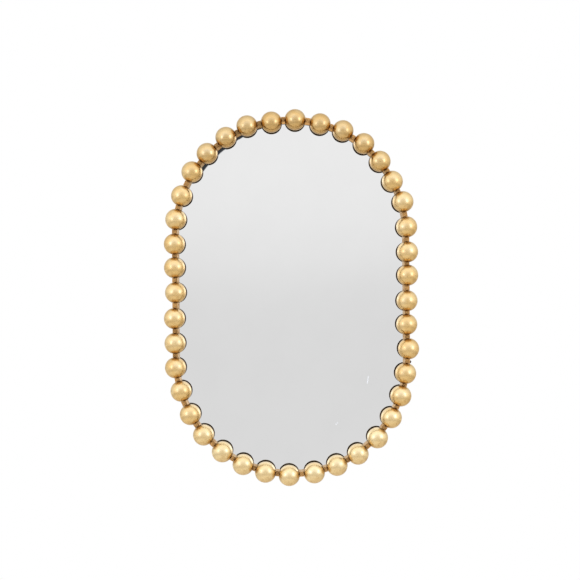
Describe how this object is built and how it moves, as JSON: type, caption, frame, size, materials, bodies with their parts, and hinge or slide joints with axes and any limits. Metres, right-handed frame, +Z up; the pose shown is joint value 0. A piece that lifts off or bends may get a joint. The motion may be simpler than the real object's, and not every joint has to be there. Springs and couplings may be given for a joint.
{
  "type": "oval wall mirror",
  "caption": "Oval wall mirror in a rim set all round with gilt balls, with a board back held by turn buttons and two ring hangers.",
  "frame": {"origin": "middle of the back panel's rear face", "axes": "+Z up along the mirror's height, +X to the viewer's right, +Y out of the back towards the wall"},
  "size_m": [0.602, 0.0755, 0.8896],
  "materials": {
    "gilt_brass": "satin gilt, aged",
    "rim_metal": "brown gilt, aged",
    "button_brass": "plain brass, dull",
    "silvered_glass": "silvered glass",
    "plywood": "oiled plywood",
    "steel_parts": "zinc plated",
    "dark_screw": "browned steel",
    "black_rubber": "matte"
  },
  "bodies": {
    "mirror_frame": {"ball_01": "gilt_brass", "ball_02": "gilt_brass", "ball_03": "gilt_brass", "ball_04": "gilt_brass", "ball_05": "gilt_brass", "ball_06": "gilt_brass", "ball_07": "gilt_brass", "ball_08": "gilt_brass", "ball_09": "gilt_brass", "ball_10": "gilt_brass", "ball_11": "gilt_brass", "ball_12": "gilt_brass", "ball_13": "gilt_brass", "ball_14": "gilt_brass", "ball_15": "gilt_brass", "ball_16": "gilt_brass", "ball_17": "gilt_brass", "ball_18": "gilt_brass", "ball_19": "gilt_brass", "ball_20": "gilt_brass", "ball_21": "gilt_brass", "ball_22": "gilt_brass", "ball_23": "gilt_brass", "ball_24": "gilt_brass", "ball_25": "gilt_brass", "ball_26": "gilt_brass", "ball_27": "gilt_brass", "ball_28": "gilt_brass", "ball_29": "gilt_brass", "ball_30": "gilt_brass", "ball_31": "gilt_brass", "ball_32": "gilt_brass", "ball_33": "gilt_brass", "ball_34": "gilt_brass", "ball_35": "gilt_brass", "ball_36": "gilt_brass", "ball_37": "gilt_brass", "ball_38": "gilt_brass", "ball_39": "gilt_brass", "ball_40": "gilt_brass", "ball_studs": "steel_parts", "rim": "rim_metal", "rim_joint_screw": "dark_screw", "mirror_glass": "silvered_glass", "back_panel": "plywood", "button_screws": "steel_parts", "hanger_strap_left": "steel_parts", "hanger_strap_right": "steel_parts", "hanger_screws": "steel_parts", "wall_bumpers": "black_rubber"},
    "left_ring": {"hanger_ring_left": "steel_parts"},
    "right_ring": {"hanger_ring_right": "steel_parts"},
    "turn_button_1": {"turn_button_1": "button_brass"},
    "turn_button_2": {"turn_button_2": "button_brass"},
    "turn_button_3": {"turn_button_3": "button_brass"},
    "turn_button_4": {"turn_button_4": "button_brass"},
    "turn_button_5": {"turn_button_5": "button_brass"},
    "turn_button_6": {"turn_button_6": "button_brass"}
  },
  "joints": [
    {"name": "turn_button_1_pivot", "type": "hinge", "parent": "mirror_frame", "child": "turn_button_1", "pos_m": [0.17452, 0, 0.36111], "axis": [0, 1, 0], "continuous": true},
    {"name": "turn_button_2_pivot", "type": "hinge", "parent": "mirror_frame", "child": "turn_button_2", "pos_m": [0.277, 0, -0.01086], "axis": [0, 1, 0], "continuous": true},
    {"name": "turn_button_3_pivot", "type": "hinge", "parent": "mirror_frame", "child": "turn_button_3", "pos_m": [0.20249, 0, -0.33502], "axis": [0, 1, 0], "continuous": true},
    {"name": "turn_button_4_pivot", "type": "hinge", "parent": "mirror_frame", "child": "turn_button_4", "pos_m": [-0.16685, 0, -0.36711], "axis": [0, 1, 0], "continuous": true},
    {"name": "turn_button_5_pivot", "type": "hinge", "parent": "mirror_frame", "child": "turn_button_5", "pos_m": [-0.277, 0, 0.01201], "axis": [0, 1, 0], "continuous": true},
    {"name": "turn_button_6_pivot", "type": "hinge", "parent": "mirror_frame", "child": "turn_button_6", "pos_m": [-0.19682, 0, 0.34091], "axis": [0, 1, 0], "continuous": true},
    {"name": "left_ring_hinge", "type": "hinge", "parent": "mirror_frame", "child": "left_ring", "pos_m": [-0.1975, 0.0038, 0.146], "axis": [0, 0, 1], "range_deg": [0, 175]},
    {"name": "right_ring_hinge", "type": "hinge", "parent": "mirror_frame", "child": "right_ring", "pos_m": [0.1975, 0.0038, 0.146], "axis": [0, 0, -1], "range_deg": [0, 175]}
  ]
}
